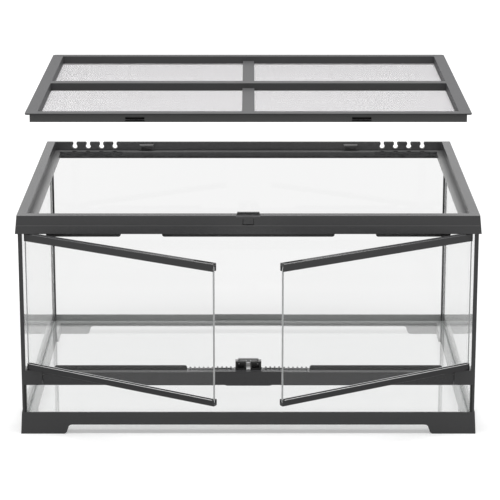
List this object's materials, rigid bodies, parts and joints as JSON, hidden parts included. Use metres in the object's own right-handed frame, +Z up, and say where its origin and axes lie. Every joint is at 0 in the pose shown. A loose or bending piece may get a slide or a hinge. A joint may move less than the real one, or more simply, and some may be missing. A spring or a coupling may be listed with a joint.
{
  "type": "terrarium",
  "caption": "Front-opening glass terrarium with moulded frames, two hinged glass doors, a sill lock, closable cable notches and a lift-off screen lid shown raised.",
  "frame": {"origin": "on the floor, under the centre of the whole object's bounding box with the doors ajar", "axes": "+X to the right and +Y to the back as seen from the front, +Z up"},
  "size_m": [0.6092, 0.604, 0.4327],
  "materials": {
    "frame_plastic": "satin moulded, dark grey",
    "lid_plastic": "satin moulded, dark grey",
    "rail_plastic": "satin extruded, dark grey",
    "lock_plastic": "fine matt, near black",
    "cap_plastic": "satin, mid grey",
    "tank_glass": "clear float glass with ground edges",
    "silicone": "smooth black silicone",
    "screen_wire": "fine woven wire",
    "steel": "bright",
    "dark_steel": "blackened"
  },
  "bodies": {
    "cabinet": {"base_frame": "frame_plastic", "bottom_glass": "tank_glass", "rear_glass": "tank_glass", "left_glass": "tank_glass", "right_glass": "tank_glass", "lower_front_glass": "tank_glass", "rear_left_seal": "silicone", "rear_right_seal": "silicone", "left_post": "frame_plastic", "right_post": "frame_plastic", "left_lower_post": "frame_plastic", "right_lower_post": "frame_plastic", "top_frame": "frame_plastic", "front_sill": "frame_plastic", "left_sill_end": "frame_plastic", "right_sill_end": "frame_plastic", "left_vent_grille": "frame_plastic", "right_vent_grille": "frame_plastic", "left_lock_block": "lock_plastic", "right_lock_block": "lock_plastic"},
    "left_door": {"left_door_glass": "tank_glass", "left_top_rail": "rail_plastic", "left_bottom_rail": "rail_plastic", "left_top_pin": "steel", "left_bottom_pin": "steel", "left_strike_plate": "dark_steel"},
    "right_door": {"right_door_glass": "tank_glass", "right_top_rail": "rail_plastic", "right_bottom_rail": "rail_plastic", "right_top_pin": "steel", "right_bottom_pin": "steel", "right_strike_plate": "dark_steel"},
    "lid": {"lid_frame": "lid_plastic", "lid_screen": "screen_wire", "lid_retainer": "lid_plastic"},
    "lock_bar": {"lock_bar": "cap_plastic"},
    "lid_latch": {"lid_latch": "lock_plastic"},
    "left_inlet_slider": {"left_inlet_slider": "rail_plastic"},
    "right_inlet_slider": {"right_inlet_slider": "rail_plastic"}
  },
  "joints": [
    {"name": "left_door_hinge", "type": "hinge", "parent": "cabinet", "child": "left_door", "pos_m": [-0.289, -0.15009, 0.18], "axis": [0, 0, -1], "range_deg": [-31, 74]},
    {"name": "right_door_hinge", "type": "hinge", "parent": "cabinet", "child": "right_door", "pos_m": [0.289, -0.15009, 0.18], "axis": [0, 0, 1], "range_deg": [-31, 74]},
    {"name": "lid_lift", "type": "slide", "parent": "cabinet", "child": "lid", "axis": [0, 0, 1], "range_m": [-0.133, 0]},
    {"name": "lock_bar_slide", "type": "slide", "parent": "cabinet", "child": "lock_bar", "axis": [0, 0, 1], "range_m": [-0.0015, 0]},
    {"name": "lid_latch_slide", "type": "slide", "parent": "cabinet", "child": "lid_latch", "axis": [0, 1, 0], "range_m": [0, 0.006]},
    {"name": "left_inlet_slide", "type": "slide", "parent": "cabinet", "child": "left_inlet_slider", "axis": [-1, 0, 0], "range_m": [0, 0.01]},
    {"name": "right_inlet_slide", "type": "slide", "parent": "cabinet", "child": "right_inlet_slider", "axis": [1, 0, 0], "range_m": [0, 0.01]}
  ]
}
